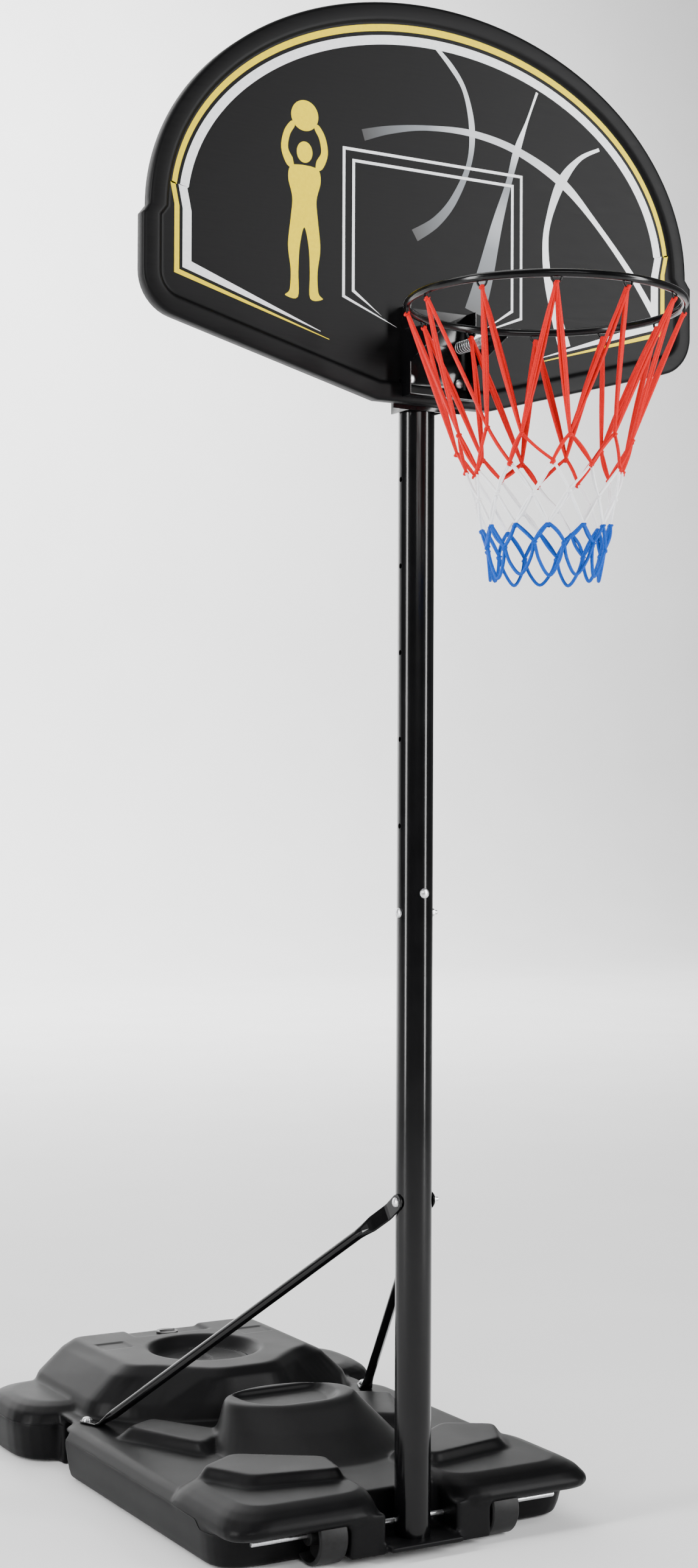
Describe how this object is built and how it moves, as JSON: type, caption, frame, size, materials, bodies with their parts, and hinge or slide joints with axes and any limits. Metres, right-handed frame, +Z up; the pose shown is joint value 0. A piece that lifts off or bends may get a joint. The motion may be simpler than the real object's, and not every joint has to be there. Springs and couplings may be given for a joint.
{
  "type": "portable basketball hoop",
  "caption": "Free-standing basketball hoop with a moulded backboard, a sprung rim with a net, a bolted height setting, braces and a wheeled ballast tank.",
  "frame": {"origin": "on the floor under the middle of the tank's footprint", "axes": "+Z up, -Y towards the rim and the players, +X to the right of someone facing the board"},
  "size_m": [1.116, 1.7012, 2.703],
  "materials": {
    "tank_plastic": "satin moulded polyethylene with a light grain",
    "plug_plastic": "moulded plastic",
    "wheel_plastic": "moulded polyethylene",
    "zinc_steel": "bright zinc plate",
    "spring_steel": "zinc plated spring wire",
    "black_powder_coat": "gloss black powder coat",
    "board_plastic": "satin black moulded plastic with printed lines",
    "net_red_cord": "knotted nylon cord",
    "net_white_cord": "knotted nylon cord",
    "net_blue_cord": "knotted nylon cord"
  },
  "bodies": {
    "stand": {"base_tank": "tank_plastic", "axle_rod": "zinc_steel", "pole_lower": "black_powder_coat", "pole_upper": "black_powder_coat", "pole_top_cap": "plug_plastic", "pole_joint_bolts": "zinc_steel", "pole_joint_nuts": "zinc_steel", "brace_left": "black_powder_coat", "brace_right": "black_powder_coat", "brace_pole_bolt": "zinc_steel", "brace_pole_nut": "zinc_steel", "brace_foot_bolts": "zinc_steel", "brace_foot_washers": "zinc_steel", "brace_foot_nuts": "zinc_steel"},
    "board_assembly": {"backboard": "board_plastic", "pole_bracket": "black_powder_coat", "height_bolts": "zinc_steel", "height_nuts": "zinc_steel", "spring_left": "spring_steel", "spring_right": "spring_steel", "spring_bolts": "zinc_steel", "spring_washers": "zinc_steel", "spring_nuts": "zinc_steel", "rim_lower_bolts": "zinc_steel", "rim_lower_nuts": "zinc_steel"},
    "rim": {"rim_bracket": "black_powder_coat", "rim_ring": "black_powder_coat", "net_hooks": "black_powder_coat", "net_red": "net_red_cord", "net_white": "net_white_cord", "net_blue": "net_blue_cord"},
    "wheel_left": {"wheel_left": "wheel_plastic"},
    "wheel_right": {"wheel_right": "wheel_plastic"},
    "filler_plug": {"filler_plug": "plug_plastic"}
  },
  "joints": [
    {"name": "height_slide", "type": "slide", "parent": "stand", "child": "board_assembly", "axis": [0, 0, 1], "range_m": [-0.762, 0.1524]},
    {"name": "rim_tilt", "type": "hinge", "parent": "board_assembly", "child": "rim", "pos_m": [0, -0.572, 2.0475], "axis": [1, 0, 0], "range_deg": [0, 6], "stiffness_Nm_per_rad": 250, "springref_deg": -5.73, "deforming": ["spring_left", "spring_right"]},
    {"name": "wheel_left_spin", "type": "hinge", "parent": "stand", "child": "wheel_left", "pos_m": [-0.175, -0.497, 0.053], "axis": [1, 0, 0], "continuous": true},
    {"name": "wheel_right_spin", "type": "hinge", "parent": "stand", "child": "wheel_right", "pos_m": [0.175, -0.497, 0.053], "axis": [1, 0, 0], "continuous": true},
    {"name": "plug_lift", "type": "slide", "parent": "stand", "child": "filler_plug", "axis": [0, 0, 1], "range_m": [0, 0.04]}
  ]
}
